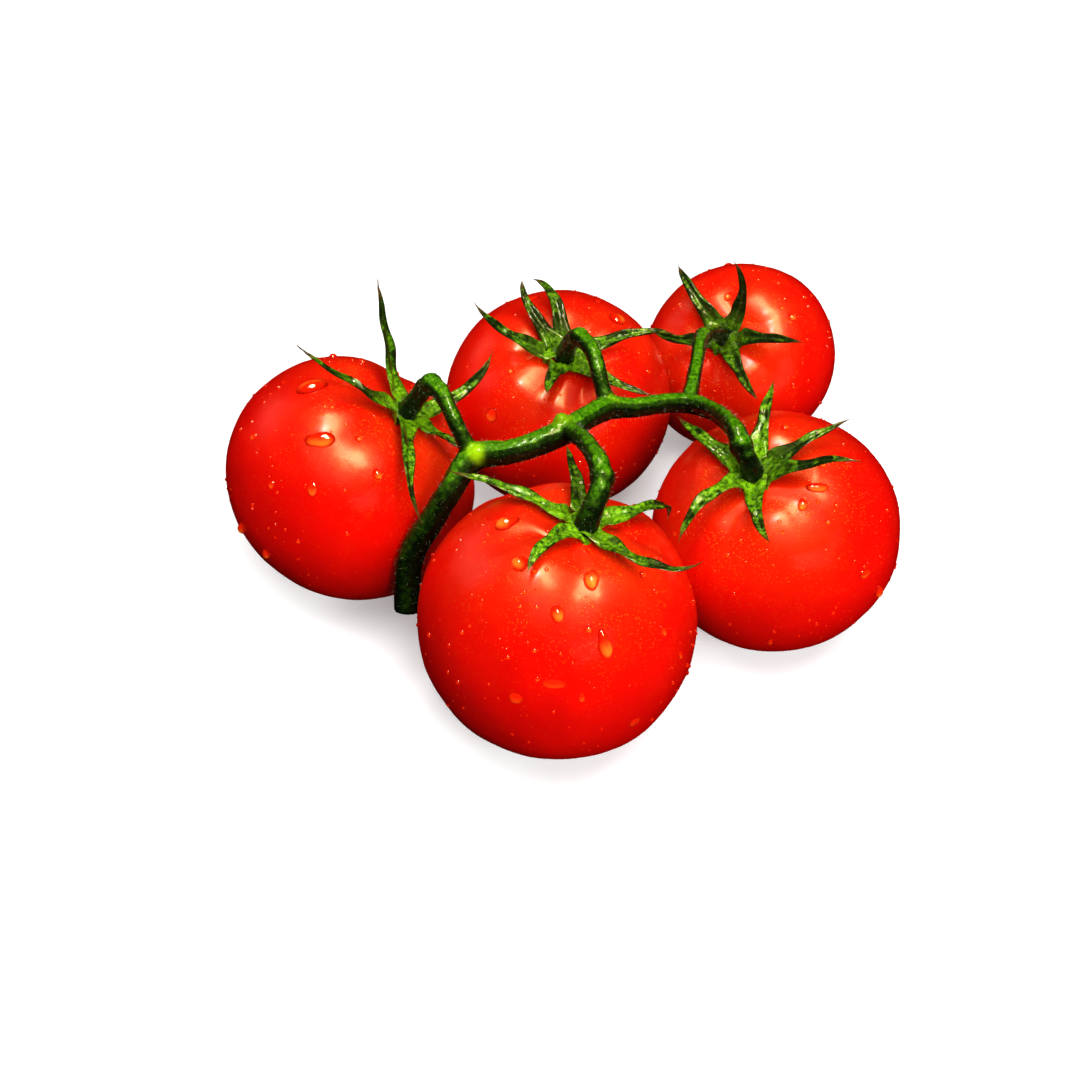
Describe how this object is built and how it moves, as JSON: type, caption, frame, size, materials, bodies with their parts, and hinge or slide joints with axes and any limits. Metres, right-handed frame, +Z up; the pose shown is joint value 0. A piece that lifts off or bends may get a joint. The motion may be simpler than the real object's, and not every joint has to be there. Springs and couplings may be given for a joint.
{
  "type": "truss of tomatoes",
  "caption": "Cut truss of ripe round red tomatoes on their branching green vine stem, each with a leafy star-shaped calyx, resting on the fruits.",
  "frame": {"origin": "middle of the footprint, on the surface that the fruits rest on", "axes": "+Z up from the surface, +X from the fruit beside the cut end of the stem towards the fruit at the stem's tip, +Y towards the fruits at the back"},
  "size_m": [0.1714, 0.1682, 0.0761],
  "materials": {
    "fruit_skin": "smooth glossy ripe tomato skin",
    "stem_skin": "satin, finely hairy green stem",
    "sepal_skin": "satin, blistered green leaf"
  },
  "bodies": {
    "root": {"fruit_1": "fruit_skin", "fruit_2": "fruit_skin", "fruit_3": "fruit_skin", "fruit_4": "fruit_skin", "fruit_5": "fruit_skin", "vine_stem": "stem_skin", "stalk_1": "stem_skin", "stalk_2": "stem_skin", "stalk_3": "stem_skin", "stalk_4": "stem_skin", "stalk_5": "stem_skin", "sepal_1a": "sepal_skin", "sepal_1b": "sepal_skin", "sepal_1c": "sepal_skin", "sepal_1d": "sepal_skin", "sepal_1e": "sepal_skin", "sepal_2a": "sepal_skin", "sepal_2b": "sepal_skin", "sepal_2c": "sepal_skin", "sepal_2d": "sepal_skin", "sepal_2e": "sepal_skin", "sepal_3a": "sepal_skin", "sepal_3b": "sepal_skin", "sepal_3c": "sepal_skin", "sepal_3d": "sepal_skin", "sepal_3e": "sepal_skin", "sepal_3f": "sepal_skin", "sepal_4a": "sepal_skin", "sepal_4b": "sepal_skin", "sepal_4c": "sepal_skin", "sepal_4d": "sepal_skin", "sepal_4e": "sepal_skin", "sepal_5a": "sepal_skin", "sepal_5b": "sepal_skin", "sepal_5c": "sepal_skin", "sepal_5d": "sepal_skin", "sepal_5e": "sepal_skin", "sepal_5f": "sepal_skin"}
  },
  "joints": []
}
